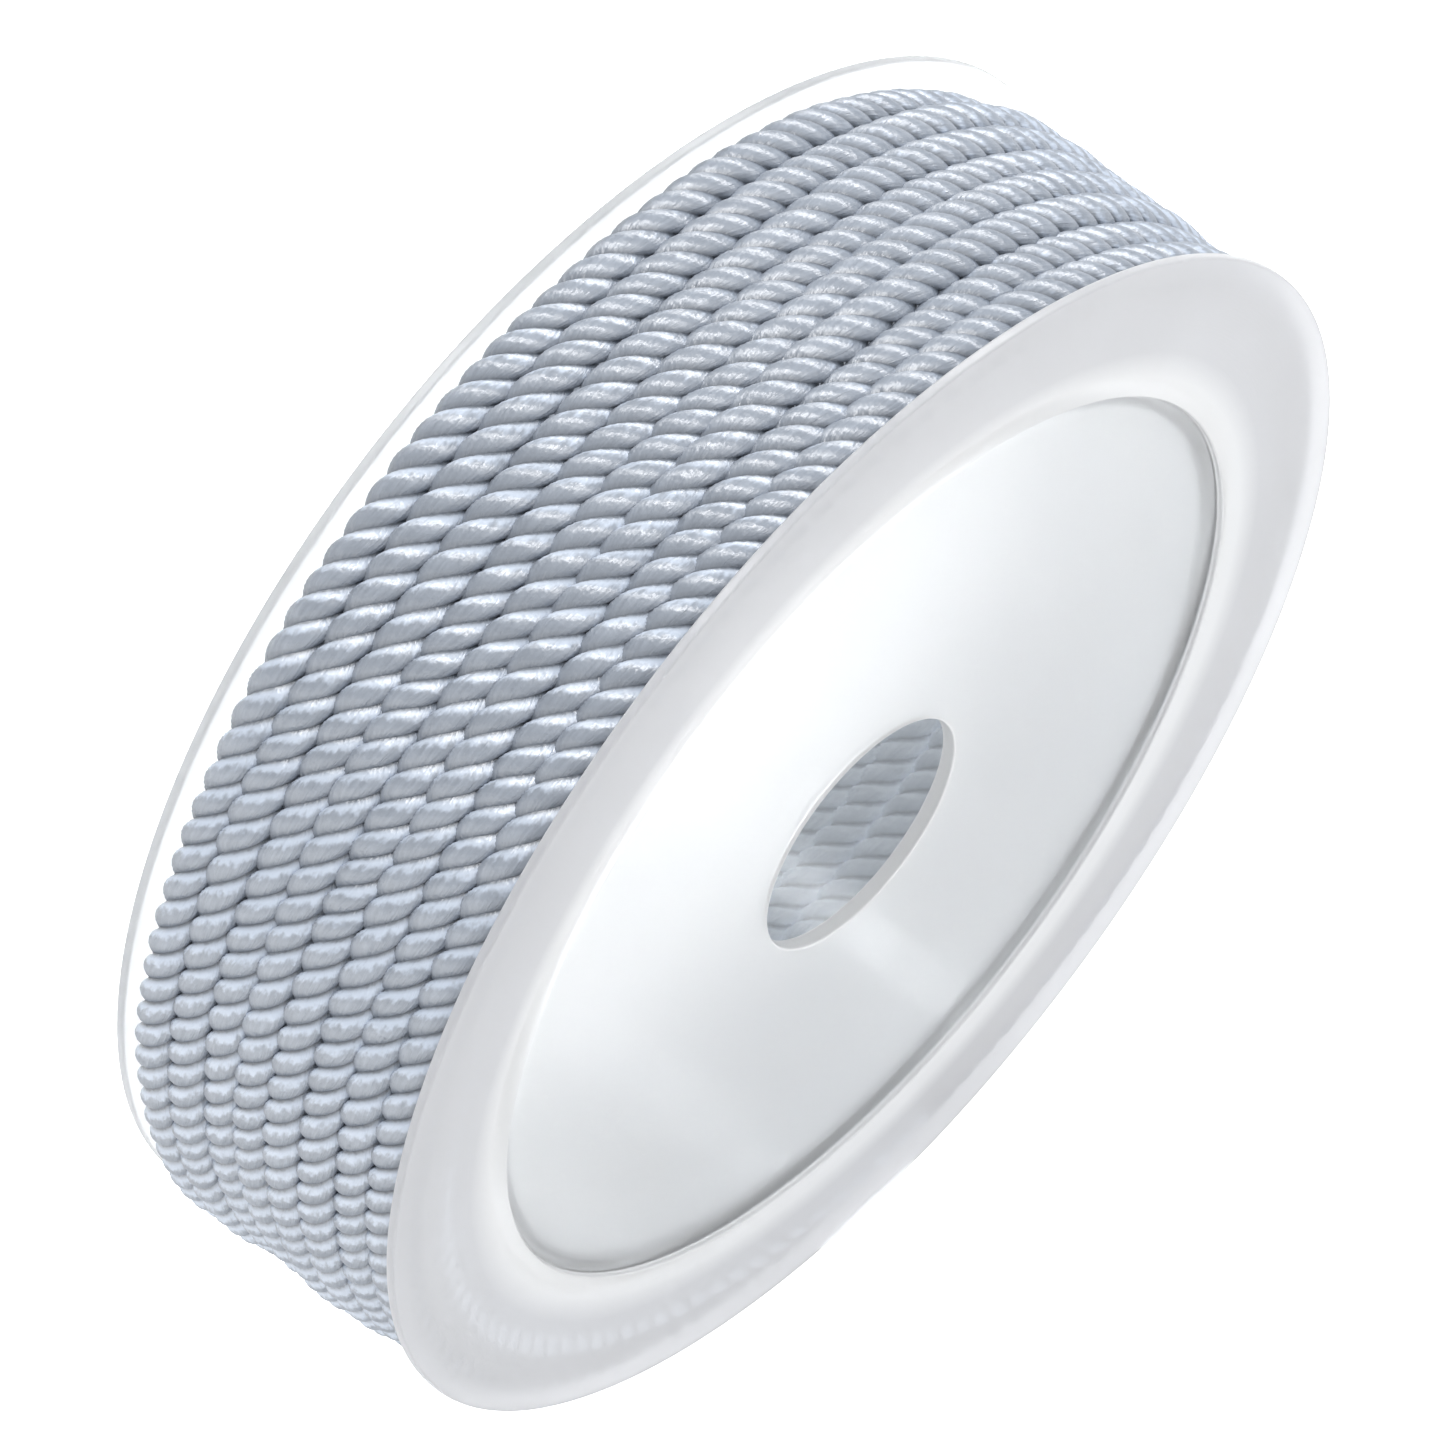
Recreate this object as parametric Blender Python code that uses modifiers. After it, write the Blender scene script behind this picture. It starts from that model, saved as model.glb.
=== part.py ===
"""Twisted nylon cord wound on a clear moulded spool that stands on its two flange rims.

The spool's axis lies along Y and its front flange faces -Y. The origin is the point on the
surface under the middle of the spool. Lengths are written in millimetres and turned into
metres by MM.
"""

import math

import bmesh
import bpy

MM = 0.001

# Spool, as two moulded halves that plug together inside the winding
RIM_RADIUS = 33.0
SPOOL_WIDTH = 17.9
HALF_WIDTH = SPOOL_WIDTH / 2
FLAT_SPOT_HALF = 3.75
AXIS_HEIGHT = math.sqrt(RIM_RADIUS**2 - FLAT_SPOT_HALF**2)
RIM_THICKNESS = 0.5
RIM_ROUND = 0.12
RIM_LAND = 1.4
FLANGE_ROOT_THICKNESS = 0.8
FLANGE_DISH = 0.3
HUB_OUTER = 26.0
HUB_INNER = 24.8
HUB_FILLET = 0.4
RECESS_RADIUS = 25.2
RECESS_STEP = 0.35
WEB_THICKNESS = 0.8
WEB_DEPTH_AT_HOLE = 1.2
HOLE_RADIUS = 6.6
HOLE_LAND = 2.9
LAP_LENGTH = 3.0
CLEARANCE = 0.3
SPOOL_STEPS = 72
MERGE_DISTANCE = 0.01
SHARP_ANGLE = math.radians(30.0)

# Winding of the cord, whose ridges are its outer turns
WINDING_INNER = HUB_OUTER + CLEARANCE
WINDING_SIDE_AT_HUB = 1.5
VALLEY_DROP = 0.75
SHOULDER_DROP = 0.14
RIDGE = (
    # share of the turn's width, drop below its crest
    (0.0, VALLEY_DROP),
    (0.25, SHOULDER_DROP),
    (0.5, 0.0),
    (0.75, SHOULDER_DROP),
)
WINDING_STEPS = 84
WINDING_INNER_STEPS = 3
DRIFT = 0.15
DRIFT_TURN = math.radians(15.0)

# The back turns stand out on one side of the winding
BULGE_MIDDLE = math.radians(212.0)
BULGE_WIDTH = math.radians(30.0)

# Outer turns from the front flange to the back one: where each ends, as a depth behind the
# front rim, the radius of its crest and how far it stands out at the bulge
FIRST_TURN_START = 0.9
TURNS = (
    # end_depth, crest_radius, bulge
    (2.85, 32.50, 0.0),
    (4.58, 32.35, 0.1),
    (6.83, 32.55, 0.45),
    (8.78, 32.55, 0.65),
    (10.80, 32.45, 0.65),
    (12.95, 32.55, 0.7),
    (15.10, 32.60, 1.0),
    (17.00, 32.45, 1.1),
)


def clear_scene():
    for obj in list(bpy.data.objects):
        bpy.data.objects.remove(obj, do_unlink=True)


def new_collection(name, shown=True):
    collection = bpy.data.collections.new(name)
    collection.hide_render = not shown
    bpy.context.scene.collection.children.link(collection)
    return collection


def principled(name, colour, roughness, transmission=0.0):
    material = bpy.data.materials.new(name)
    material.use_nodes = True
    shader = material.node_tree.nodes["Principled BSDF"]
    shader.inputs["Base Color"].default_value = (*colour, 1.0)
    shader.inputs["Roughness"].default_value = roughness
    shader.inputs["Metallic"].default_value = 0.0
    shader.inputs["Transmission Weight"].default_value = transmission
    material.diffuse_color = (*colour, 1.0)
    return material


def add_object(name, mesh, collection, material=None):
    obj = bpy.data.objects.new(name, mesh)
    collection.objects.link(obj)
    if material:
        mesh.materials.append(material)
    return obj


def web_depth(radius):
    """Depth of the web's front face: flat round the hole, then a straight slope up to the recess."""
    land_edge = HOLE_RADIUS + HOLE_LAND
    edge_depth = FLANGE_DISH + RECESS_STEP
    share = min(1.0, max(0.0, (radius - land_edge) / (RECESS_RADIUS - land_edge)))
    return WEB_DEPTH_AT_HOLE + (edge_depth - WEB_DEPTH_AT_HOLE) * share


def outer_face_points():
    """Front face of the flange and the rim's rounded edge, as (radius, depth) going outwards."""
    return [
        (RECESS_RADIUS, FLANGE_DISH),
        (RIM_RADIUS - RIM_LAND, 0.0),
        (RIM_RADIUS - RIM_ROUND, 0.0),
        (RIM_RADIUS, RIM_ROUND),
        (RIM_RADIUS, RIM_THICKNESS - RIM_ROUND),
        (RIM_RADIUS - RIM_ROUND, RIM_THICKNESS),
    ]


def hub_wall_points(plug):
    """Flange's cord side, the hub wall down to the joint and back up, as (radius, depth).

    The plug half ends in a thin inner sleeve, and the other half in an outer one.
    """
    root_depth = FLANGE_DISH + FLANGE_ROOT_THICKNESS
    seam = HALF_WIDTH - CLEARANCE / 2
    sleeve = (HUB_OUTER - HUB_INNER - CLEARANCE) / 2
    points = [
        (HUB_OUTER + HUB_FILLET, root_depth),
        (HUB_OUTER, root_depth + HUB_FILLET),
        (HUB_OUTER, seam),
    ]
    if plug:
        points += [
            (HUB_INNER + sleeve, seam),
            (HUB_INNER + sleeve, seam + LAP_LENGTH),
            (HUB_INNER, seam + LAP_LENGTH),
        ]
    else:
        points += [
            (HUB_OUTER - sleeve, seam),
            (HUB_OUTER - sleeve, seam - LAP_LENGTH),
            (HUB_INNER, seam - LAP_LENGTH),
        ]
    return points


def web_points():
    """Back of the web, the hole's wall and the web's front face, as (radius, depth)."""
    land_edge = HOLE_RADIUS + HOLE_LAND
    corner = HUB_INNER - HUB_FILLET
    return [
        (HUB_INNER, web_depth(HUB_INNER) + WEB_THICKNESS + HUB_FILLET),
        (corner, web_depth(corner) + WEB_THICKNESS),
        (land_edge, WEB_DEPTH_AT_HOLE + WEB_THICKNESS),
        (HOLE_RADIUS, WEB_DEPTH_AT_HOLE + WEB_THICKNESS),
        (HOLE_RADIUS, WEB_DEPTH_AT_HOLE),
        (land_edge, WEB_DEPTH_AT_HOLE),
        (RECESS_RADIUS, web_depth(RECESS_RADIUS)),
    ]


def spool_half(name, plug, faces_front, collection, material):
    """One turned half: a closed profile with a Screw, its outer face towards -Y or +Y."""
    profile = outer_face_points() + hub_wall_points(plug) + web_points()
    vertices = [(r * MM, 0.0, (HALF_WIDTH - depth) * MM) for r, depth in profile]
    count = len(vertices)
    mesh = bpy.data.meshes.new(name)
    mesh.from_pydata(vertices, [(i, (i + 1) % count) for i in range(count)], [])
    obj = add_object(name, mesh, collection, material)
    screw = obj.modifiers.new("turned", "SCREW")
    screw.axis = "Z"
    screw.angle = 2 * math.pi
    screw.steps = SPOOL_STEPS
    screw.render_steps = SPOOL_STEPS
    screw.use_merge_vertices = True
    screw.merge_threshold = MERGE_DISTANCE * MM
    screw.use_smooth_shade = False
    obj.rotation_euler.x = math.pi / 2 if faces_front else -math.pi / 2
    obj.location.z = AXIS_HEIGHT * MM
    return obj


def flat_spot_cutter(collection):
    """Block under the surface that takes the small flat off both rims."""
    bpy.ops.mesh.primitive_cube_add(size=1.0)
    cutter = bpy.context.active_object
    cutter.name = "flat_spot_cutter"
    for owner in list(cutter.users_collection):
        owner.objects.unlink(cutter)
    collection.objects.link(cutter)
    depth = RIM_RADIUS / 2
    cutter.scale = (4 * FLAT_SPOT_HALF * MM, 2 * SPOOL_WIDTH * MM, depth * MM)
    cutter.location = (0.0, 0.0, -depth / 2 * MM)
    cutter.hide_render = True
    cutter.display_type = "WIRE"
    return cutter


def cut(obj, cutter):
    boolean = obj.modifiers.new("flat spot", "BOOLEAN")
    boolean.operation = "DIFFERENCE"
    boolean.solver = "EXACT"
    boolean.object = cutter


def finish_round(obj):
    """Applies the object's modifiers, then shades it smooth up to its sharp corners."""
    depsgraph = bpy.context.evaluated_depsgraph_get()
    mesh = bpy.data.meshes.new_from_object(obj.evaluated_get(depsgraph))
    mesh.name = obj.name
    obj.modifiers.clear()
    obj.data = mesh
    mesh.shade_smooth()
    mesh.set_sharp_from_angle(angle=SHARP_ANGLE)


def winding_section():
    """Section of the winding as (radius, depth, share of the drift, bulge) going round once.

    Each turn gives a valley, a shoulder, a crest and a shoulder. The drift fades to nothing
    at both flanges.
    """
    section = []
    start = FIRST_TURN_START
    last_depth = TURNS[-1][0]
    for end, crest, bulge in TURNS:
        for share, drop in RIDGE:
            depth = start + share * (end - start)
            across = (depth - FIRST_TURN_START) / (last_depth - FIRST_TURN_START)
            drift = math.sqrt(math.sin(math.pi * across))
            section.append((crest - drop, depth, drift, bulge))
        start = end
    section.append((TURNS[-1][1] - VALLEY_DROP, last_depth, 0.0, TURNS[-1][2]))
    back = SPOOL_WIDTH - WINDING_SIDE_AT_HUB
    for step in range(WINDING_INNER_STEPS):
        share = step / (WINDING_INNER_STEPS - 1)
        section.append((WINDING_INNER, back + (WINDING_SIDE_AT_HUB - back) * share, 0.0, 0.0))
    return section


def cord_winding(collection, material):
    """Ring of the wound cord: the section carried round the axis.

    The turns drift a little to the back and to the front twice a round, and bulge once.
    """
    section = winding_section()
    shape = bmesh.new()
    rings = []
    for step in range(WINDING_STEPS):
        angle = 2 * math.pi * step / WINDING_STEPS
        drift = DRIFT * math.cos(2 * (angle - DRIFT_TURN))
        swell = math.exp(-(((angle - BULGE_MIDDLE) / BULGE_WIDTH) ** 2))
        ring = []
        for radius, depth, share, bulge in section:
            reach = radius + bulge * swell
            x = reach * math.cos(angle)
            y = depth + drift * share - HALF_WIDTH
            z = AXIS_HEIGHT + reach * math.sin(angle)
            ring.append(shape.verts.new((x * MM, y * MM, z * MM)))
        rings.append(ring)
    for ring, following in zip(rings, rings[1:] + rings[:1]):
        for i, corner in enumerate(ring):
            j = (i + 1) % len(ring)
            shape.faces.new((corner, ring[j], following[j], following[i]))
    bmesh.ops.recalc_face_normals(shape, faces=shape.faces)
    mesh = bpy.data.meshes.new("cord_winding")
    shape.to_mesh(mesh)
    shape.free()
    mesh.shade_smooth()
    return add_object("cord_winding", mesh, collection, material)


def main():
    clear_scene()
    parts = new_collection("twisted cord on spool")
    cutters = new_collection("cutters", shown=False)
    plastic = principled("clear frosted plastic", (0.93, 0.94, 0.95), 0.35, 0.6)
    nylon = principled("silver blue nylon", (0.55, 0.60, 0.68), 0.45)
    front = spool_half("spool_front_half", False, True, parts, plastic)
    back = spool_half("spool_back_half", True, False, parts, plastic)
    cord_winding(parts, nylon)
    cutter = flat_spot_cutter(cutters)
    for half in (front, back):
        cut(half, cutter)
        finish_round(half)


main()
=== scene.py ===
"""Twisted nylon cord on a clear frosted spool: the laid strands, the moulded spool and the stage.

The spool's axis lies along Y at the height of its middle, and angles go round it from +X
towards +Z. A depth is measured from the front rim's plane towards the back. Lengths are in
metres, and the tables of turns are in millimetres.
"""

import math

import bpy
import numpy as np
from bpy.props import FloatProperty, FloatVectorProperty, IntProperty, PointerProperty
from mathutils import Matrix, Vector


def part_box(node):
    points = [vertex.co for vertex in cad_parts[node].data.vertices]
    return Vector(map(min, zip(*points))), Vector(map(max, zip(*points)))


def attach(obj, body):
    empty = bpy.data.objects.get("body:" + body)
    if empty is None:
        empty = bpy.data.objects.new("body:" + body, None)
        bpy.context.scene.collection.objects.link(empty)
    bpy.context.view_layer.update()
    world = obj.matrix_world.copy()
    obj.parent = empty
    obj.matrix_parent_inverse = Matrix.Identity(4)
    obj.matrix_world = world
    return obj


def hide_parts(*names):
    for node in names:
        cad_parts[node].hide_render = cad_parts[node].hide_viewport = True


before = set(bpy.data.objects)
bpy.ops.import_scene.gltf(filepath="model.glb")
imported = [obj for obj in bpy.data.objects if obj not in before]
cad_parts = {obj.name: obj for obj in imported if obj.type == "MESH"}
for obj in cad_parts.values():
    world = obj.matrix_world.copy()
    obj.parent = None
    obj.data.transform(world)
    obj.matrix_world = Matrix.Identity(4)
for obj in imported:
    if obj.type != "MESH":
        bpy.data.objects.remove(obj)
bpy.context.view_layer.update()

bl_info = {
    "name": "Cord Spool",
    "version": (1, 0, 0),
    "blender": (4, 5, 0),
    "location": "View3D > Sidebar > Cord Spool",
    "description": "Winds a laid cord on a clear moulded spool and sets a plain stage",
    "category": "Add Mesh",
}

MM = 0.001
TURN = 2 * math.pi

FRONT_LOW, FRONT_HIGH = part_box("spool_front_half")
BACK_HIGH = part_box("spool_back_half")[1]
RIM_RADIUS = (FRONT_HIGH.x - FRONT_LOW.x) / 2
HALF_WIDTH = BACK_HIGH.y
AXIS_HEIGHT = FRONT_HIGH.z - RIM_RADIUS

# Angle at which the turns' depths are given: the side of the winding that faces the camera
TABLE_DEGREES = 117.0
TABLE_ANGLE = math.radians(TABLE_DEGREES)

# Course of the two inner layers of the cord in turns from its inner end. Layer 1 runs to the
# back flange and layer 2 to the front one, with a climb at each flange
INNER_DEPTHS = (
    # turns, depth in mm
    (0.0, 2.15),
    (6.7, 15.75),
    (7.3, 16.05),
    (7.7, 15.95),
    (14.1, 1.98),
    (14.45, 1.76),
)
INNER_RADII = (
    # turns, radius of the cord's centre in mm
    (0.0, 27.10),
    (7.1, 27.10),
    (7.55, 29.25),
    (14.2, 29.25),
    (14.6, 31.20),
)

# Outer layer: depth of each turn in mm at these angles. The turns run level on the side that
# shows and step to the next one underneath
DEPTH_ANGLES = (20.0, 60.0, 105.0, 160.0, 215.0)
OUTER_DEPTHS = (
    (1.85, 1.85, 1.74, 1.80, 1.80),
    (3.90, 3.86, 3.48, 3.80, 3.80),
    (5.95, 5.82, 5.60, 5.90, 5.92),
    (7.95, 7.84, 7.58, 7.95, 7.96),
    (9.92, 9.76, 9.50, 9.95, 10.00),
    (11.95, 11.76, 11.55, 12.02, 12.05),
    (14.20, 13.92, 13.88, 14.12, 14.12),
    (16.15, 16.06, 15.98, 16.08, 16.20),
)

# Outer layer: radius of the cord's centre in mm at these angles. A turn stands out by its
# bulge where the share is 1, and the last one sinks where it starts
RADIUS_ANGLES = (20.0, 45.0, 70.0, 160.0, 185.0, 212.0, 240.0, 270.0, 320.0)
OUTER_RADII = (31.50, 31.54, 31.54, 31.57, 31.54, 31.54, 31.54, 31.54, 31.50)
BULGE_SHARES = (0.0, 0.0, 0.0, 0.05, 0.4, 1.0, 0.5, 0.04, 0.0)
BULGES = (0.0, 0.1, 0.45, 0.65, 0.65, 0.7, 1.0, 1.2)
TURN_RADII = (-0.05, -0.12, 0.05, 0.04, -0.03, 0.03, 0.06, -0.02)
LAST_TURN_SINKS = (-1.1, -0.55, -0.1)
LAST_DEPTH_KNOT = (22.5, 16.22)
FIRST_OUTER_TURN = 15.0

# Pieces of the cord: name, turns where it starts and ends, steps across a strand, rings to a
# lay, and whether it has the melted end
OUTER_PIECES = (
    ("outer_turns_front", 14.45, 18.5, 9, 18, False),
    ("outer_turns_back", 18.5, 22.45, 9, 18, True),
)
INNER_PIECES = (
    ("inner_layer", 0.0, 7.4, 5, 12, False),
    ("middle_layer", 7.4, 14.45, 5, 12, False),
)

# The melted end of the cord: its length, and how far towards nothing its radius goes
SEALED_LENGTH = 1.1 * MM
SEALED_DEPTH = 0.9

# Direction from which the light of the painted sheen on the strands' sides is taken to come, and
# its gain
SHEEN_ANGLE = math.radians(75.0)
SHEEN_GAIN = 1.4


def outer_course():
    """Knots of the outer layer, as turns with their depths and turns with their radii."""
    depths, radii = [], []
    for i, row in enumerate(OUTER_DEPTHS):
        first = FIRST_OUTER_TURN + i
        for degrees, depth in zip(DEPTH_ANGLES, row):
            depths.append((first + (degrees - TABLE_DEGREES) / 360.0, depth))
        for degrees, radius, share in zip(RADIUS_ANGLES, OUTER_RADII, BULGE_SHARES):
            reach = radius + TURN_RADII[i] + share * BULGES[i]
            radii.append([first + (degrees - TABLE_DEGREES) / 360.0, reach])
    depths.append(LAST_DEPTH_KNOT)
    last = len(radii) - len(RADIUS_ANGLES)
    for j, sink in enumerate(LAST_TURN_SINKS):
        radii[last + j][1] += sink
    return depths, radii


DEPTH_KNOTS = np.array([*INNER_DEPTHS, *outer_course()[0]])
RADIUS_KNOTS = np.array([*INNER_RADII, *outer_course()[1]])

# Small uneven places of the winding, as waves along the cord
WAVES = np.array(
    [
        # waves a turn, phase, sideways mm, outwards mm, strand turn in radians
        (1.37, 0.6, 0.060, 0.030, 0.30),
        (3.19, 2.1, 0.040, 0.035, 0.22),
        (7.43, 4.0, 0.022, 0.020, 0.16),
        (15.7, 1.3, 0.010, 0.012, 0.10),
    ]
)
FULLNESS_WAVES = (
    # share of the radius, waves in a turn
    (0.02, 11.3),
    (0.015, 29.7),
)

# Points of a strand's tube from which its outline is read, and the angle they span each way
TUBE_POINTS = 721
TUBE_SPAN = 0.6 * math.pi

# Where the filaments are laid out: at this share of the cord's radius, each strand's place in
# the material in millimetres from the first one's
SKIN_SHARE = 0.85
STRAND_PLACES = ((0.0, 0.0), (3.7, 11.0), (8.1, 23.0))

# Corners sharper than these angles stay sharp
CORD_SHARP_ANGLE = math.radians(38.0)
SPOOL_SHARP_ANGLE = math.radians(50.0)


# User settings


class CordSizes(bpy.types.PropertyGroup):
    """Sizes of the cord and of its winding."""

    diameter: FloatProperty(
        name="Diameter",
        description="Width of the cord over its strands",
        default=2.16 * MM,
        unit="LENGTH",
    )
    flattening: FloatProperty(
        name="Flattening",
        description="How much wider than high the cord is pressed by its neighbours",
        default=0.26,
        subtype="FACTOR",
    )
    strand_share: FloatProperty(
        name="Strand share",
        description="Radius of one strand as a share of the cord's radius",
        default=0.53,
        subtype="FACTOR",
    )
    lays_per_turn: FloatProperty(
        name="Lays in a turn",
        description="How often the three strands go round each other in one turn of the winding",
        default=40.15,
    )
    filament_angle: FloatProperty(
        name="Filament angle",
        description="Angle between the filaments and their strand",
        default=math.radians(-43.0),
        subtype="ANGLE",
    )


class CordFinish(bpy.types.PropertyGroup):
    """Colours of the cord."""

    yarn: FloatVectorProperty(
        name="Yarn",
        description="Colour of the nylon filaments in full light",
        default=(0.214, 0.248, 0.303),
        size=3,
        subtype="COLOR",
    )
    yarn_pale: FloatVectorProperty(
        name="Pale yarn",
        description="Colour of the paler filaments",
        default=(0.295, 0.335, 0.398),
        size=3,
        subtype="COLOR",
    )
    satin: FloatProperty(
        name="Satin",
        description="How far the gloss spreads across the filaments and not along them",
        default=0.85,
        subtype="FACTOR",
    )
    # Painted highlight: how much paler the yarn is painted on the side of each strand that faces
    # the sheen light
    highlight_paleness: FloatProperty(
        name="Flank paleness",
        description="How much paler the filaments are on the upper side of each strand",
        default=1.75,
    )
    # Painted light: the inner layers' yarn is painted paler than the outer yarn, standing for
    # light that reaches them through the spool
    inner_lit_yarn: FloatVectorProperty(
        name="Inner yarn",
        description="Colour of the filaments in the brightened inner layers",
        default=(0.50, 0.54, 0.60),
        size=3,
        subtype="COLOR",
    )
    inner_lit_yarn_pale: FloatVectorProperty(
        name="Pale inner yarn",
        description="Colour of the paler filaments in the inner layers",
        default=(0.62, 0.66, 0.71),
        size=3,
        subtype="COLOR",
    )
    # Painted glow: the inner layers shine with their own colour, though they are no lamp
    inner_glow: FloatProperty(
        name="Inner glow",
        description="Light that the inner layers take through the nylon and pass on",
        default=0.42,
    )
    roughness: FloatProperty(
        name="Roughness",
        description="Middle roughness of the filaments",
        default=0.42,
        subtype="FACTOR",
    )


class SpoolFinish(bpy.types.PropertyGroup):
    """Finish of the moulded plastic."""

    # Painted shade: the front flange is painted greyer than the milky plastic of the rest of the
    # spool
    frosted_shade_tint: FloatVectorProperty(
        name="Frosted tint",
        description="Colour of the frosted front flange",
        default=(0.71, 0.72, 0.745),
        size=3,
        subtype="COLOR",
    )
    # Painted highlight: colour of a paler band painted at the root of the front flange
    highlight_band_tint: FloatVectorProperty(
        name="Band tint",
        description="Colour of the paler band at the root of the front flange",
        default=(0.90, 0.91, 0.92),
        size=3,
        subtype="COLOR",
    )
    tint: FloatVectorProperty(
        name="Tint",
        description="Colour of the milky plastic",
        default=(0.94, 0.955, 0.965),
        size=3,
        subtype="COLOR",
    )
    clearness: FloatProperty(
        name="Clearness",
        description="Share of light that passes through the frosted skin",
        default=0.50,
        subtype="FACTOR",
    )
    web_clearness: FloatProperty(
        name="Web clearness",
        description="Share of light that passes through the web's and the back flange's skin",
        default=0.88,
        subtype="FACTOR",
    )
    frost: FloatProperty(
        name="Frost",
        description="Middle roughness of the frosted skin",
        default=0.33,
        subtype="FACTOR",
    )
    hub_clearness: FloatProperty(
        name="Hub clearness",
        description="Share of light that passes through the polished skin of the hub",
        default=0.95,
        subtype="FACTOR",
    )
    hub_frost: FloatProperty(
        name="Hub frost",
        description="Middle roughness of the polished skin of the hub",
        default=0.09,
        subtype="FACTOR",
    )


class StageSettings(bpy.types.PropertyGroup):
    """Camera, floor and light."""

    camera_azimuth: FloatProperty(
        name="Camera azimuth",
        description="Turn of the camera about the vertical from the front",
        default=math.radians(-47.2),
        subtype="ANGLE",
    )
    camera_elevation: FloatProperty(
        name="Camera elevation",
        description="Height of the camera as an angle over the floor",
        default=math.radians(55.2),
        subtype="ANGLE",
    )
    camera_distance: FloatProperty(
        name="Camera distance",
        description="Distance from the camera to the front rim's middle, along the view",
        default=0.3317028,
        unit="LENGTH",
    )
    floor_size: FloatProperty(
        name="Floor size",
        description="Side of the square floor",
        default=3.0,
        unit="LENGTH",
    )
    room_light: FloatProperty(
        name="Room light",
        description="Strength of the even white light from all round",
        default=0.64,
    )
    floor_glow: FloatProperty(
        name="Floor glow",
        description="Light that the floor gives from below, as a light table does",
        default=1.6,
    )
    softbox_power: FloatProperty(
        name="Softbox power",
        description="Share of the softboxes' full power",
        default=1.0,
    )
    round_steps: IntProperty(
        name="Steps round",
        description="How many steps the turned spool has round its axis",
        default=288,
        min=48,
    )


# Shared helpers


def through(knots, at):
    """Smooth curve through the knots, read at an array of places.

    Between two knots it is the cubic with the knots' values and slopes. A knot's slope is the
    harmonic mean of the chords beside it, or nothing where they point opposite ways.
    """
    x, y = knots[:, 0], knots[:, 1]
    step = np.diff(x)
    chord = np.diff(y) / step
    left, right = chord[:-1], chord[1:]
    same = left * right > 0
    mean = np.where(same, 2 * left * right / np.where(same, left + right, 1.0), 0.0)
    slope = np.concatenate([[chord[0]], mean, [chord[-1]]])
    i = np.clip(np.searchsorted(x, at, side="right") - 1, 0, len(step) - 1)
    s = (at - x[i]) / step[i]
    start = (1 + 2 * s) * (1 - s) ** 2 * y[i] + s * (1 - s) ** 2 * step[i] * slope[i]
    end = s**2 * (3 - 2 * s) * y[i + 1] - s**2 * (1 - s) * step[i] * slope[i + 1]
    return start + end


def new_mesh_object(name, points, faces, sharp_angle):
    """Object at the origin from arrays of points and of four-cornered or mixed faces."""
    mesh = bpy.data.meshes.new(name)
    mesh.from_pydata(points.reshape(-1, 3), [], faces)
    mesh.update()
    mesh.shade_smooth()
    mesh.set_sharp_from_angle(angle=sharp_angle)
    obj = bpy.data.objects.new(name, mesh)
    bpy.context.scene.collection.objects.link(obj)
    return obj


def distances(points):
    """Distance along a line of points from the first to each of them."""
    return np.concatenate([[0.0], np.cumsum(np.linalg.norm(np.diff(points, axis=0), axis=1))])


def grid_faces(rows, columns, close_rows=False):
    """Four corners of each face of a grid whose columns close on themselves."""
    i = np.arange(rows if close_rows else rows - 1)[:, None]
    j = np.arange(columns)[None, :]
    k = (i + 1) % rows
    m = (j + 1) % columns
    corners = (i * columns + j, i * columns + m, k * columns + m, k * columns + j)
    return np.stack(corners, axis=-1).reshape(-1, 4)


# Materials

NYLON_IOR = 1.85
PLASTIC_IOR = 1.49

# Noise on the filaments: how often it changes in a millimetre across and along them
BUNDLE_SCALE = (7.0, 0.55, 1.0)
FINE_SCALE = (24.0, 0.9, 1.0)
PATCH_SCALE = (0.35, 0.35, 1.0)
CRUMPLE_SCALE = (3.2, 1.5, 1.0)

# Noise on the plastic and the floor: how often it changes in a metre, and for the scratches in
# a millimetre round the axis and along the section
CLOUD_SCALE = 60.0
TOOTH_SCALE = 900.0
SCRATCH_SCALE = (0.35, 9.0, 1.0)

# Shares of the yarn's colour in its worn patches, in the painted shade on the lower side of each
# strand and in the painted shade of the grooves, and of the plastic's tint in its darker clouds
WORN_SHARE = 0.8
FLANK_SHADE_SHARE = 0.74
GROOVE_SHADE_SHARE = 0.45
CLOUD_SHARE = 0.965
FLOOR_GREYS = ((0.73, 0.73, 0.73), (0.76, 0.76, 0.76))

# Bumps: strength and height
CRUMPLE_BUMP = (0.6, 0.12 * MM)
BUNDLE_BUMP = (0.9, 0.06 * MM)
FINE_BUMP = (0.7, 0.02 * MM)
SCRATCH_BUMP = (0.14, 0.02 * MM)
TOOTH_BUMP = (0.05, 0.05 * MM)

# Radii between which the painted highlight band at the root of the front flange fades out
HIGHLIGHT_BAND_FADES = (26.4 * MM, 27.8 * MM)

# Shares of the floor's glow that light the pieces and that show through the plastic
GLOW_AROUND = 0.25
GLOW_THROUGH = 0.78


def new_material(name):
    material = bpy.data.materials.new(name)
    material.use_nodes = True
    return material, material.node_tree


def node(tree, kind, inputs=None, **settings):
    """New node with its settings and its unlinked inputs set by name."""
    made = tree.nodes.new(kind)
    for key, value in settings.items():
        setattr(made, key, value)
    for key, value in (inputs or {}).items():
        made.inputs[key].default_value = value
    return made


def noise(tree, vector, scale, detail, roughness=0.5):
    made = node(
        tree,
        "ShaderNodeTexNoise",
        {"Scale": scale, "Detail": detail, "Roughness": roughness},
    )
    tree.links.new(vector, made.inputs["Vector"])
    return made.outputs["Fac"]


def mapped(tree, vector, scale):
    made = node(tree, "ShaderNodeMapping", {"Scale": scale})
    tree.links.new(vector, made.inputs["Vector"])
    return made.outputs["Vector"]


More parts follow.
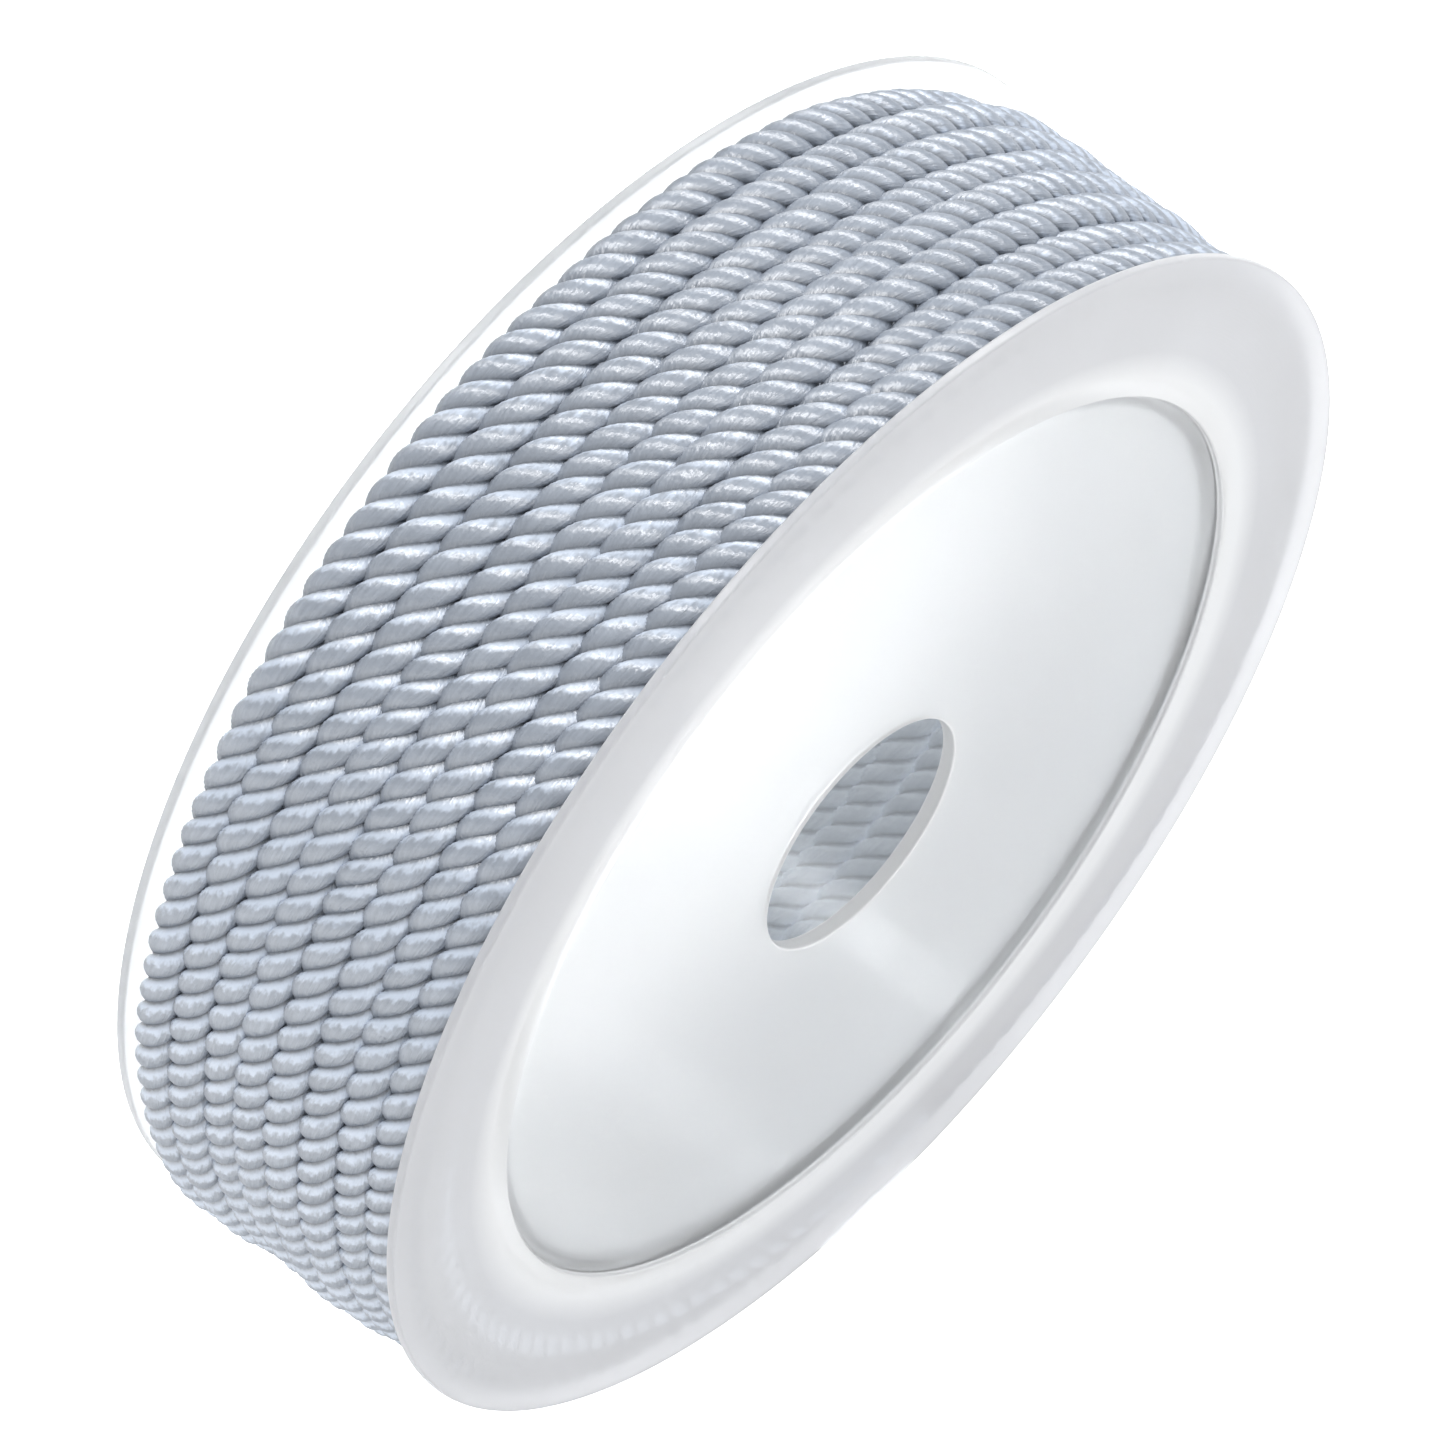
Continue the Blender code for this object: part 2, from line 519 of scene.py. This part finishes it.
def remapped(tree, value, low, high, to_low, to_high):
    made = node(
        tree,
        "ShaderNodeMapRange",
        {"From Min": low, "From Max": high, "To Min": to_low, "To Max": to_high},
    )
    tree.links.new(value, made.inputs["Value"])
    return made.outputs["Result"]


def blended(tree, factor, first, second):
    """Colour between two colours or colour sockets."""
    made = node(tree, "ShaderNodeMix", data_type="RGBA")
    tree.links.new(factor, made.inputs["Factor"])
    for name, value in (("A", first), ("B", second)):
        socket = [s for s in made.inputs if s.name == name and s.type == "RGBA"][0]
        if isinstance(value, bpy.types.NodeSocket):
            tree.links.new(value, socket)
        else:
            socket.default_value = (*value, 1.0)
    return [s for s in made.outputs if s.type == "RGBA"][0]


def bumped(tree, height, strength, distance, normal=None):
    made = node(tree, "ShaderNodeBump", {"Strength": strength, "Distance": distance})
    tree.links.new(height, made.inputs["Height"])
    if normal:
        tree.links.new(normal, made.inputs["Normal"])
    return made.outputs["Normal"]


def nylon_material(name, finish, yarn, pale, highlight_lift=1.0, glow=0.0):
    """Satin filaments: fine and coarse streaks along the yarn, in colour, gloss and bump.

    The piece's UV map "filaments" holds the place across and along the filaments in
    millimetres. The attribute "crease" is 1 in the grooves between strands, which are painted
    darker as painted shade, and "flank" goes from -1 on the side of each strand that looks down
    to 1 on the side that looks up; the upper side is painted paler as a painted highlight and
    the lower side darker as painted shade.
    """
    material, tree = new_material(name)
    shader = tree.nodes["Principled BSDF"]
    links = tree.links
    place = node(tree, "ShaderNodeUVMap", uv_map="filaments").outputs["UV"]
    crease = node(tree, "ShaderNodeAttribute", attribute_name="crease").outputs["Fac"]
    bundles = noise(tree, mapped(tree, place, BUNDLE_SCALE), 1.0, 2.0)
    fine = noise(tree, mapped(tree, place, FINE_SCALE), 1.0, 1.0, 0.6)
    patches = noise(tree, mapped(tree, place, PATCH_SCALE), 1.0, 1.0)
    streaks = remapped(tree, bundles, 0.32, 0.68, 0.0, 1.0)
    colour = blended(tree, streaks, tuple(yarn), tuple(pale))
    worn = [WORN_SHARE * c for c in yarn]
    colour = blended(tree, remapped(tree, patches, 0.35, 0.75, 0.0, 0.45), colour, worn)
    crumple = noise(tree, mapped(tree, place, CRUMPLE_SCALE), 1.0, 2.0, 0.6)
    # Painted highlight: the side of each strand that faces the sheen light is painted paler,
    # broken up by the crumple noise
    lit_flank = node(tree, "ShaderNodeAttribute", attribute_name="lit_flank").outputs["Fac"]
    uneven = node(tree, "ShaderNodeMath", operation="MULTIPLY_ADD")
    links.new(crumple, uneven.inputs[0])
    uneven.inputs[1].default_value = 1.2
    links.new(lit_flank, uneven.inputs[2])
    highlight_mask = node(tree, "ShaderNodeMapRange", interpolation_type="SMOOTHERSTEP")
    links.new(uneven.outputs[0], highlight_mask.inputs["Value"])
    for key, value in (("From Min", 0.65), ("From Max", 1.25)):
        highlight_mask.inputs[key].default_value = value
    lit = [highlight_lift * c for c in pale]
    colour = blended(tree, highlight_mask.outputs["Result"], colour, lit)
    # Painted shade: the side of each strand turned away from the sheen light is painted darker
    under = [FLANK_SHADE_SHARE * c for c in yarn]
    colour = blended(tree, remapped(tree, lit_flank, -0.2, -0.95, 0.0, 0.8), colour, under)
    # Painted shade: the grooves between the strands are painted darker
    groove_shade = [GROOVE_SHADE_SHARE * c for c in yarn]
    colour = blended(tree, remapped(tree, crease, 0.4, 1.0, 0.0, 0.8), colour, groove_shade)
    links.new(colour, shader.inputs["Base Color"])
    # Painted glow: emission that stands for the light that real filaments pass on from one to the
    # next
    if glow:
        links.new(colour, shader.inputs["Emission Color"])
        shader.inputs["Emission Strength"].default_value = glow
    dull, duller = finish.roughness - 0.07, finish.roughness + 0.1
    gloss = remapped(tree, fine, 0.3, 0.7, dull, duller)
    links.new(gloss, shader.inputs["Roughness"])
    normal = bumped(tree, crumple, *CRUMPLE_BUMP)
    normal = bumped(tree, bundles, *BUNDLE_BUMP, normal)
    normal = bumped(tree, fine, *FINE_BUMP, normal)
    links.new(normal, shader.inputs["Normal"])
    across = node(tree, "ShaderNodeTangent", direction_type="UV_MAP", uv_map="filaments")
    links.new(across.outputs["Tangent"], shader.inputs["Tangent"])
    shader.inputs["Anisotropic"].default_value = finish.satin
    shader.inputs["Specular IOR Level"].default_value = 1.0
    shader.inputs["IOR"].default_value = NYLON_IOR
    return material


def plastic_material(name, tint, clearness, frost, band=None):
    """Clear milky plastic with a frosted skin, faint flow marks and fine turning scratches.

    The scratches follow the UV map "turned", which holds the place round the axis and the
    distance along the section in millimetres. The colour of a band, where one is given, is a
    painted highlight that fades out between two radii from the axis.
    """
    material, tree = new_material(name)
    shader = tree.nodes["Principled BSDF"]
    links = tree.links
    place = node(tree, "ShaderNodeTexCoord").outputs["Object"]
    turned = node(tree, "ShaderNodeUVMap", uv_map="turned").outputs["UV"]
    cloud = noise(tree, place, CLOUD_SCALE, 2.0)
    scratches = noise(tree, mapped(tree, turned, SCRATCH_SCALE), 1.0, 1.0, 0.7)
    dim = tuple(CLOUD_SHARE * c for c in tint)
    colour = blended(tree, remapped(tree, cloud, 0.35, 0.7, 0.0, 1.0), tuple(tint), dim)
    if band:
        centred = node(tree, "ShaderNodeMapping", {"Scale": (1.0, 0.0, 1.0)})
        centred.inputs["Location"].default_value = (0.0, 0.0, -AXIS_HEIGHT)
        links.new(place, centred.inputs["Vector"])
        radius = node(tree, "ShaderNodeVectorMath", operation="LENGTH")
        links.new(centred.outputs["Vector"], radius.inputs[0])
        fade = remapped(tree, radius.outputs["Value"], *HIGHLIGHT_BAND_FADES, 1.0, 0.0)
        colour = blended(tree, fade, colour, tuple(band))
    links.new(colour, shader.inputs["Base Color"])
    rough = remapped(tree, cloud, 0.3, 0.7, 0.9 * frost, 1.15 * frost)
    links.new(rough, shader.inputs["Roughness"])
    links.new(bumped(tree, scratches, *SCRATCH_BUMP), shader.inputs["Normal"])
    shader.inputs["IOR"].default_value = PLASTIC_IOR
    shader.inputs["Transmission Weight"].default_value = clearness
    return material


def floor_material(name, glow):
    """Matt white light table with a very faint tooth.

    It glows most where the camera sees it, less through the plastic and least on the pieces.
    """
    material, tree = new_material(name)
    shader = tree.nodes["Principled BSDF"]
    place = node(tree, "ShaderNodeTexCoord").outputs["Object"]
    tooth = noise(tree, place, TOOTH_SCALE, 2.0)
    colour = blended(tree, tooth, *FLOOR_GREYS)
    tree.links.new(colour, shader.inputs["Base Color"])
    tree.links.new(bumped(tree, tooth, *TOOTH_BUMP), shader.inputs["Normal"])
    shader.inputs["Roughness"].default_value = 0.9
    shader.inputs["Specular IOR Level"].default_value = 0.1
    shader.inputs["Emission Color"].default_value = (1.0, 1.0, 1.0, 1.0)
    rays = node(tree, "ShaderNodeLightPath")
    behind = remapped(
        tree, rays.outputs["Is Transmission Ray"], 0.0, 1.0, GLOW_AROUND, GLOW_THROUGH
    )
    seen = node(tree, "ShaderNodeMath", operation="MAXIMUM")
    tree.links.new(rays.outputs["Is Camera Ray"], seen.inputs[0])
    tree.links.new(behind, seen.inputs[1])
    strength = remapped(tree, seen.outputs[0], 0.0, 1.0, 0.0, glow)
    tree.links.new(strength, shader.inputs["Emission Strength"])
    return material


# Cord


def cord_centre(turns):
    """Angle, radius and depth of the cord's centre line, with its small waves."""
    rate, phase, side, out, _ = WAVES.T
    wave = np.sin(TURN * turns[:, None] * rate + phase)
    angle = TABLE_ANGLE + TURN * (turns - FIRST_OUTER_TURN)
    radius = (through(RADIUS_KNOTS, turns) + wave @ out) * MM
    depth = (through(DEPTH_KNOTS, turns) + wave @ side) * MM
    return angle, radius, depth


def round_axis(radius, angle, depth):
    """Points at these radii and angles round the spool's axis and at these depths."""
    return np.stack(
        [radius * np.cos(angle), depth - HALF_WIDTH, AXIS_HEIGHT + radius * np.sin(angle)],
        axis=-1,
    )


def strand_outline(radius, share, lay, columns):
    """Edge of one strand cut square to the cord, as radii at even angles, groove to groove.

    The strand is a round tube whose centre goes round the cord's axis once in each lay. A
    point of its skin is the tube's centre plus the strand's radius times the outward
    direction times cos b plus the direction across the tube times sin b. The tube's turn is
    chosen for each b so that the point lies in the cut.
    """
    strand = radius * share
    helix = radius - strand
    rise = lay / TURN
    slope = math.hypot(helix, rise)
    b = np.linspace(TUBE_SPAN, -TUBE_SPAN, TUBE_POINTS)
    turn = -strand * helix * np.sin(b) / (slope * rise)
    out = helix + strand * np.cos(b)
    across = strand * np.sin(b) * rise / slope
    x = out * np.cos(turn) + across * np.sin(turn)
    y = out * np.sin(turn) - across * np.cos(turn)
    at = np.linspace(-math.pi / 3, math.pi / 3, columns + 1)
    return at, np.interp(at, np.arctan2(y, x), np.hypot(x, y))


def filament_places(along_cord, at, skin, lay, filament_angle):
    """Places across and along the filaments in mm, for each corner of each face of a cord.

    The skin is unrolled flat, turned by the strand's tilt, whose tangent is the skin's way
    round over the lay, and then by the angle of the filaments.
    """
    tilt = math.atan2(TURN * skin, lay)
    length = (along_cord[:, None] / math.cos(tilt) + skin * at * math.sin(tilt)) / MM
    width = skin * at * math.cos(tilt) / MM
    cos_f, sin_f = math.cos(filament_angle), math.sin(filament_angle)
    uv = np.stack([width * cos_f - length * sin_f, length * cos_f + width * sin_f], axis=-1)
    corners = np.stack([uv[:-1, :-1], uv[:-1, 1:], uv[1:, 1:], uv[1:, :-1]], axis=2)
    corners = corners[:, None] + np.array(STRAND_PLACES)[None, :, None, None, :]
    return corners.reshape(-1, 2)


def set_attribute(obj, name, values):
    """Gives each vertex of the object its value of a new attribute."""
    attribute = obj.data.attributes.new(name, "FLOAT", "POINT")
    attribute.data.foreach_set("value", values)


def laid_cord(sizes, name, first, last, columns, rings_per_lay, sealed):
    """Three strands laid together along the cord's course from one turn to another.

    A point at ring i and angle a is the centre line's point plus the outline's radius times
    (outwards cos(a + w) + backwards sin(a + w)), where w grows by a whole circle in each lay.
    The outward part is a little shortened and the backward one lengthened by the flattening.
    A sealed end is melted round: the radius shrinks there by sqrt(1 - s^2), with s growing from
    0 to SEALED_DEPTH over SEALED_LENGTH.
    """
    radius = sizes.diameter / 2
    rings = int(round((last - first) * sizes.lays_per_turn * rings_per_lay)) + 1
    turns = np.linspace(first, last, rings)
    angle, centre_radius, depth = cord_centre(turns)
    lay = TURN * float(np.mean(centre_radius)) / sizes.lays_per_turn
    at, edge = strand_outline(radius, sizes.strand_share, lay, columns)

    rate, phase, _, _, twist = WAVES.T
    wave = np.sin(TURN * turns[:, None] * rate + phase)
    turned = TURN * sizes.lays_per_turn * turns + wave @ twist
    fullness = 1 + sum(share * np.sin(TURN * turns * rate) for share, rate in FULLNESS_WAVES)
    if sealed:
        past = (turns - last) * TURN * float(centre_radius[-1]) / SEALED_LENGTH + 1
        fullness = fullness * np.sqrt(1 - (SEALED_DEPTH * np.clip(past, 0.0, 1.0)) ** 2)

    strand_turn = np.arange(3) * TURN / 3
    section_angle = (strand_turn[:, None] + at[None, :-1]).reshape(-1)
    section_radius = np.tile(edge[:-1], 3)
    around = section_angle[None, :] + turned[:, None]
    reach = section_radius[None, :] * fullness[:, None]
    out = centre_radius[:, None] + reach * np.cos(around) * (1 - sizes.flattening / 3)
    back = depth[:, None] + reach * np.sin(around) * (1 + sizes.flattening * 2 / 3)
    points = round_axis(out, angle[:, None], back)
    middle = round_axis(centre_radius, angle, depth)

    count = len(section_angle)
    verts = np.concatenate([points.reshape(-1, 3), middle[:1], middle[-1:]])
    sides = grid_faces(rings, count)
    j = np.arange(count)
    m = (j + 1) % count
    start, end = rings * count, rings * count + 1
    top = (rings - 1) * count
    front_cap = np.stack([np.full(count, start), m, j], axis=-1)
    back_cap = np.stack([np.full(count, end), top + j, top + m], axis=-1)
    faces = sides.tolist() + front_cap.tolist() + back_cap.tolist()
    obj = new_mesh_object(name, verts, faces, CORD_SHARP_ANGLE)

    along_cord = distances(middle)
    side_uv = filament_places(along_cord, at, radius * SKIN_SHARE, lay, sizes.filament_angle)
    cap_uv = np.zeros((6 * count, 2))
    layer = obj.data.uv_layers.new(name="filaments")
    layer.data.foreach_set("uv", np.concatenate([side_uv, cap_uv]).ravel())

    lowest, highest = edge.min(), edge.max()
    crease = 1 - (section_radius - lowest) / (highest - lowest)
    set_attribute(obj, "crease", np.concatenate([np.tile(crease, rings), [1.0, 1.0]]))
    # Painted sheen: each strand's side, from -1 to 1, times how far it faces the sheen light,
    # sets where the yarn is painted paler and where darker
    lit_flank = np.tile(at[:-1] / at[-1], 3)
    lit_flank[::columns] = 0.0
    facing = np.clip(SHEEN_GAIN * np.sin(angle - SHEEN_ANGLE), -1.0, 1.0)
    lit_flank = (facing[:, None] * lit_flank[None, :]).reshape(-1)
    set_attribute(obj, "lit_flank", np.concatenate([lit_flank, [0.0, 0.0]]))
    print(name, "cord length", round(float(along_cord[-1]), 3), "m")
    return obj


def finish_piece(obj, material, slot, *nodes):
    obj.data.materials.append(material)
    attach(obj, "root")
    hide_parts(*nodes)


class WindOuterLayer(bpy.types.Operator):
    """Winds the eight outer turns, in two pieces that meet under the spool"""

    bl_idname = "cord_spool.wind_outer_layer"
    bl_label = "Wind Outer Layer"

    def execute(self, context):
        sizes = context.scene.cord_sizes
        finish = context.scene.cord_finish
        material = nylon_material(
            "silver_blue_nylon",
            finish,
            finish.yarn,
            finish.yarn_pale,
            highlight_lift=finish.highlight_paleness,
        )
        for piece in OUTER_PIECES:
            finish_piece(laid_cord(sizes, *piece), material, "cord_nylon", "cord_winding")
        return {"FINISHED"}


class WindInnerLayers(bpy.types.Operator):
    """Winds the two inner layers, which show through the spool"""

    bl_idname = "cord_spool.wind_inner_layers"
    bl_label = "Wind Inner Layers"

    def execute(self, context):
        sizes = context.scene.cord_sizes
        finish = context.scene.cord_finish
        material = nylon_material(
            "lit_inner_nylon",
            finish,
            finish.inner_lit_yarn,
            finish.inner_lit_yarn_pale,
            glow=finish.inner_glow,
        )
        for piece in INNER_PIECES:
            finish_piece(laid_cord(sizes, *piece), material, "cord_nylon", "cord_winding")
        return {"FINISHED"}


# Spool

# Section of a spool half as a closed outline: radius, depth and corner radius in mm
WEB_FACE = (
    (25.2, 0.65, 0.2),
    (25.2, 0.3, 0.12),
    (31.6, 0.0, 0.4),
    (33.0, 0.0, 0.16),
    (33.0, 0.5, 0.16),
    (26.0, 1.1, 0.4),
)
SLEEVE_OUTSIDE = (
    (26.0, 8.8, 0.1),
    (25.55, 8.8, 0.08),
    (25.55, 5.8, 0.08),
    (24.8, 5.8, 0.15),
)
SLEEVE_INSIDE = (
    (26.0, 8.8, 0.1),
    (25.25, 8.8, 0.08),
    (25.25, 11.8, 0.08),
    (24.8, 11.8, 0.08),
)
WEB_BACK = (
    (24.8, 1.47, 0.5),
    (9.5, 2.0, 0.3),
    (6.6, 2.0, 0.12),
    (6.6, 1.2, 0.12),
    (9.5, 1.2, 0.5),
)
OUTLINE_STEP = 0.7
CURVE_STEPS = 7

# Bounds of the web's skin and of the polished skin, as radii and a depth in mm, and the place
# of each skin's material
WEB_FROM = 6.75
WEB_WITHIN = 25.15
POLISHED_WITHIN = 26.05
POLISHED_BEHIND = 1.45
FLANGE, POLISHED, WEB = 0, 1, 2

# Radius in mm at which the scratches run at their true length
SCRATCH_RADIUS = 20.0


def softened(corners):
    """Closed outline whose corners are rounded and whose long edges are split evenly.

    A corner B between the points A and C, its corner radius away on both edges, becomes
    (1-s)^2 A + 2s(1-s) B + s^2 C for s from 0 to 1.
    """
    corners = np.array(corners, float)
    points, reach = corners[:, :2], corners[:, 2:3]
    into = points - np.roll(points, 1, axis=0)
    away = np.roll(points, -1, axis=0) - points
    into /= np.linalg.norm(into, axis=1, keepdims=True)
    away /= np.linalg.norm(away, axis=1, keepdims=True)
    start, end = points - into * reach, points + away * reach
    s = np.linspace(0.0, 1.0, CURVE_STEPS)[None, :, None]
    curve = (1 - s) ** 2 * start[:, None] + 2 * s * (1 - s) * points[:, None]
    curve = curve + s**2 * end[:, None]
    pieces = []
    for arc, following in zip(curve, np.roll(curve, -1, axis=0)):
        gap = np.linalg.norm(following[0] - arc[-1])
        steps = max(1, int(gap / OUTLINE_STEP))
        share = np.arange(1, steps)[:, None] / steps
        pieces += [arc, arc[-1] + (following[0] - arc[-1]) * share]
    return np.concatenate(pieces)


def turned_half(name, outline, faces_front, steps):
    """The outline turned about the axis: x = r cos t, z = height + r sin t, y by its depth.

    Whatever would go under the floor is laid on it, as the flat spot of the rims. Faces of the
    hub wall and of the web's inner side take the second material, and the web's outer side
    takes the third.
    """
    t = np.arange(steps) * TURN / steps
    r, depth = outline[:, 0] * MM, outline[:, 1] * MM
    side = -1 if faces_front else 1
    x = np.cos(t)[:, None] * r
    z = AXIS_HEIGHT + np.sin(t)[:, None] * r
    y = np.broadcast_to(side * (HALF_WIDTH - depth), x.shape)
    points = np.stack([x, y, np.maximum(z, 0.0)], axis=-1)
    faces = grid_faces(steps, len(outline), close_rows=True)
    if not faces_front:
        faces = faces[:, ::-1]
    obj = new_mesh_object(name, points, faces.tolist(), SPOOL_SHARP_ANGLE)
    closed = np.concatenate([outline, outline[:1]])
    middle = (closed[1:] + closed[:-1]) / 2
    polished = (
        (middle[:, 0] > WEB_FROM)
        & (middle[:, 0] < POLISHED_WITHIN)
        & (middle[:, 1] > POLISHED_BEHIND)
    )
    web = (middle[:, 0] > WEB_FROM) & (middle[:, 0] < WEB_WITHIN)
    skin = np.where(polished, POLISHED, np.where(web, WEB, FLANGE))
    obj.data.polygons.foreach_set("material_index", np.tile(skin, steps).astype(np.int32))
    along = distances(closed)[None, :]
    low, high = along[:, :-1], along[:, 1:]
    i = np.arange(steps)[:, None]
    round_low = i * TURN / steps * SCRATCH_RADIUS
    round_high = (i + 1) * TURN / steps * SCRATCH_RADIUS
    corners = ((round_low, low), (round_low, high), (round_high, high), (round_high, low))
    uv = np.stack([np.stack(np.broadcast_arrays(*c), axis=-1) for c in corners], axis=2)
    if not faces_front:
        uv = uv[:, :, ::-1]
    layer = obj.data.uv_layers.new(name="turned")
    layer.data.foreach_set("uv", uv.reshape(-1))
    return obj


class MouldSpool(bpy.types.Operator):
    """Turns the two halves of the spool, which plug together inside the winding"""

    bl_idname = "cord_spool.mould_spool"
    bl_label = "Mould Spool"

    def execute(self, context):
        steps = context.scene.stage_settings.round_steps
        finish = context.scene.spool_finish
        frosted = plastic_material(
            "frosted_plastic",
            finish.frosted_shade_tint,
            finish.clearness,
            finish.frost,
            band=finish.highlight_band_tint,
        )
        polished = plastic_material(
            "polished_plastic", finish.tint, finish.hub_clearness, finish.hub_frost
        )
        clear = plastic_material(
            "clear_plastic", finish.tint, finish.web_clearness, finish.frost
        )
        for name, sleeve, flange, part in (
            ("front_flange_and_hub", SLEEVE_OUTSIDE, frosted, "spool_front_half"),
            ("back_flange_and_hub", SLEEVE_INSIDE, clear, "spool_back_half"),
        ):
            outline = softened(WEB_FACE + sleeve + WEB_BACK)
            obj = turned_half(name, outline, sleeve is SLEEVE_OUTSIDE, steps)
            finish_piece(obj, flange, "spool_plastic", part)
            obj.data.materials.append(polished)
            obj.data.materials.append(clear)
        return {"FINISHED"}


# Stage

# Focal length as a share of the picture's width, the sensor's width in mm, and how far the
# middle of the front rim lies right of and below the picture's middle
FOCAL_SHARE = 7000.0 / 1445.0
SENSOR = 36.0
AIM_RIGHT = 7.5042 * MM
AIM_DOWN = 6.0027 * MM
CLIP_START, CLIP_END = 0.01, 20.0

LIGHT_DISTANCE = 0.85
SOFTBOXES = (
    # name, direction from the spool, width along the spool's axis, height, power in watts
    ("strip_right", (0.78, 0.15, 0.62), 1.00, 0.20, 4.8),
    ("strip_overhead", (-0.16, 0.15, 1.00), 1.00, 0.16, 4.5),
    ("strip_left", (-0.98, 0.15, 0.14), 1.00, 0.12, 0.3),
    ("softbox_front", (-0.20, -0.80, 0.40), 0.90, 0.90, 2.0),
)


class SetStage(bpy.types.Operator):
    """Lays the pale floor and sets the soft light and the camera"""

    bl_idname = "cord_spool.set_stage"
    bl_label = "Set Stage"

    def execute(self, context):
        scene = context.scene
        settings = scene.stage_settings

        half = settings.floor_size / 2
        corners = np.array([(-1, -1, 0), (1, -1, 0), (1, 1, 0), (-1, 1, 0)]) * half
        floor = new_mesh_object("floor", corners, [(0, 1, 2, 3)], math.pi)
        floor.data.materials.append(floor_material("white_light_table", settings.floor_glow))

        azimuth, elevation = settings.camera_azimuth, settings.camera_elevation
        right = Vector((math.cos(azimuth), math.sin(azimuth), 0.0))
        back = Vector(
            (
                math.sin(azimuth) * math.cos(elevation),
                -math.cos(azimuth) * math.cos(elevation),
                math.sin(elevation),
            )
        )
        up = back.cross(right)
        rim_middle = Vector((0.0, -HALF_WIDTH, AXIS_HEIGHT))
        lens = bpy.data.cameras.new("studio_camera")
        lens.sensor_width = SENSOR
        lens.lens = SENSOR * FOCAL_SHARE
        lens.clip_start = CLIP_START
        lens.clip_end = CLIP_END
        camera = bpy.data.objects.new("studio_camera", lens)
        scene.collection.objects.link(camera)
        place = rim_middle - right * AIM_RIGHT + up * AIM_DOWN + back * settings.camera_distance
        axes = Matrix((right, up, back)).transposed()
        camera.matrix_world = Matrix.Translation(place) @ axes.to_4x4()
        scene.camera = camera

        world = bpy.data.worlds.new("white_room")
        world.use_nodes = True
        background = world.node_tree.nodes["Background"]
        background.inputs["Color"].default_value = (1.0, 1.0, 1.0, 1.0)
        background.inputs["Strength"].default_value = settings.room_light
        scene.world = world

        for name, aim, width, height, power in SOFTBOXES:
            softbox = bpy.data.lights.new(name, "AREA")
            softbox.shape = "RECTANGLE"
            softbox.size = width
            softbox.size_y = height
            softbox.energy = power * settings.softbox_power
            light = bpy.data.objects.new(name, softbox)
            scene.collection.objects.link(light)
            toward = Vector(aim).normalized()
            along = Vector((0.0, 1.0, 0.0))
            along = (along - toward * along.dot(toward)).normalized()
            axes = Matrix((along, toward.cross(along), toward)).transposed()
            place = Vector((0.0, 0.0, AXIS_HEIGHT)) + toward * LIGHT_DISTANCE
            light.matrix_world = Matrix.Translation(place) @ axes.to_4x4()

        scene.view_settings.view_transform = "Standard"
        scene.view_settings.look = "None"
        return {"FINISHED"}


class CordSpoolPanel(bpy.types.Panel):
    """Lists the settings and the steps that make the spool of cord"""

    bl_idname = "VIEW3D_PT_cord_spool"
    bl_label = "Cord Spool"
    bl_space_type = "VIEW_3D"
    bl_region_type = "UI"
    bl_category = "Cord Spool"

    def draw(self, context):
        layout = self.layout
        for group in GROUPS:
            settings = getattr(context.scene, group)
            box = layout.box()
            for key in settings.bl_rna.properties.keys():
                if key not in ("rna_type", "name"):
                    box.prop(settings, key)
        for operator in OPERATORS:
            layout.operator(operator.bl_idname)


GROUPS = {
    "cord_sizes": CordSizes,
    "cord_finish": CordFinish,
    "spool_finish": SpoolFinish,
    "stage_settings": StageSettings,
}
OPERATORS = (WindOuterLayer, WindInnerLayers, MouldSpool, SetStage)
CLASSES = (*GROUPS.values(), *OPERATORS, CordSpoolPanel)


def register():
    for cls in CLASSES:
        bpy.utils.register_class(cls)
    for name, cls in GROUPS.items():
        setattr(bpy.types.Scene, name, PointerProperty(type=cls))


def unregister():
    for name in GROUPS:
        delattr(bpy.types.Scene, name)
    for cls in reversed(CLASSES):
        bpy.utils.unregister_class(cls)


def main():
    register()
    bpy.ops.cord_spool.wind_outer_layer()
    bpy.ops.cord_spool.wind_inner_layers()
    bpy.ops.cord_spool.mould_spool()
    bpy.ops.cord_spool.set_stage()


if __name__ == "__main__":
    main()
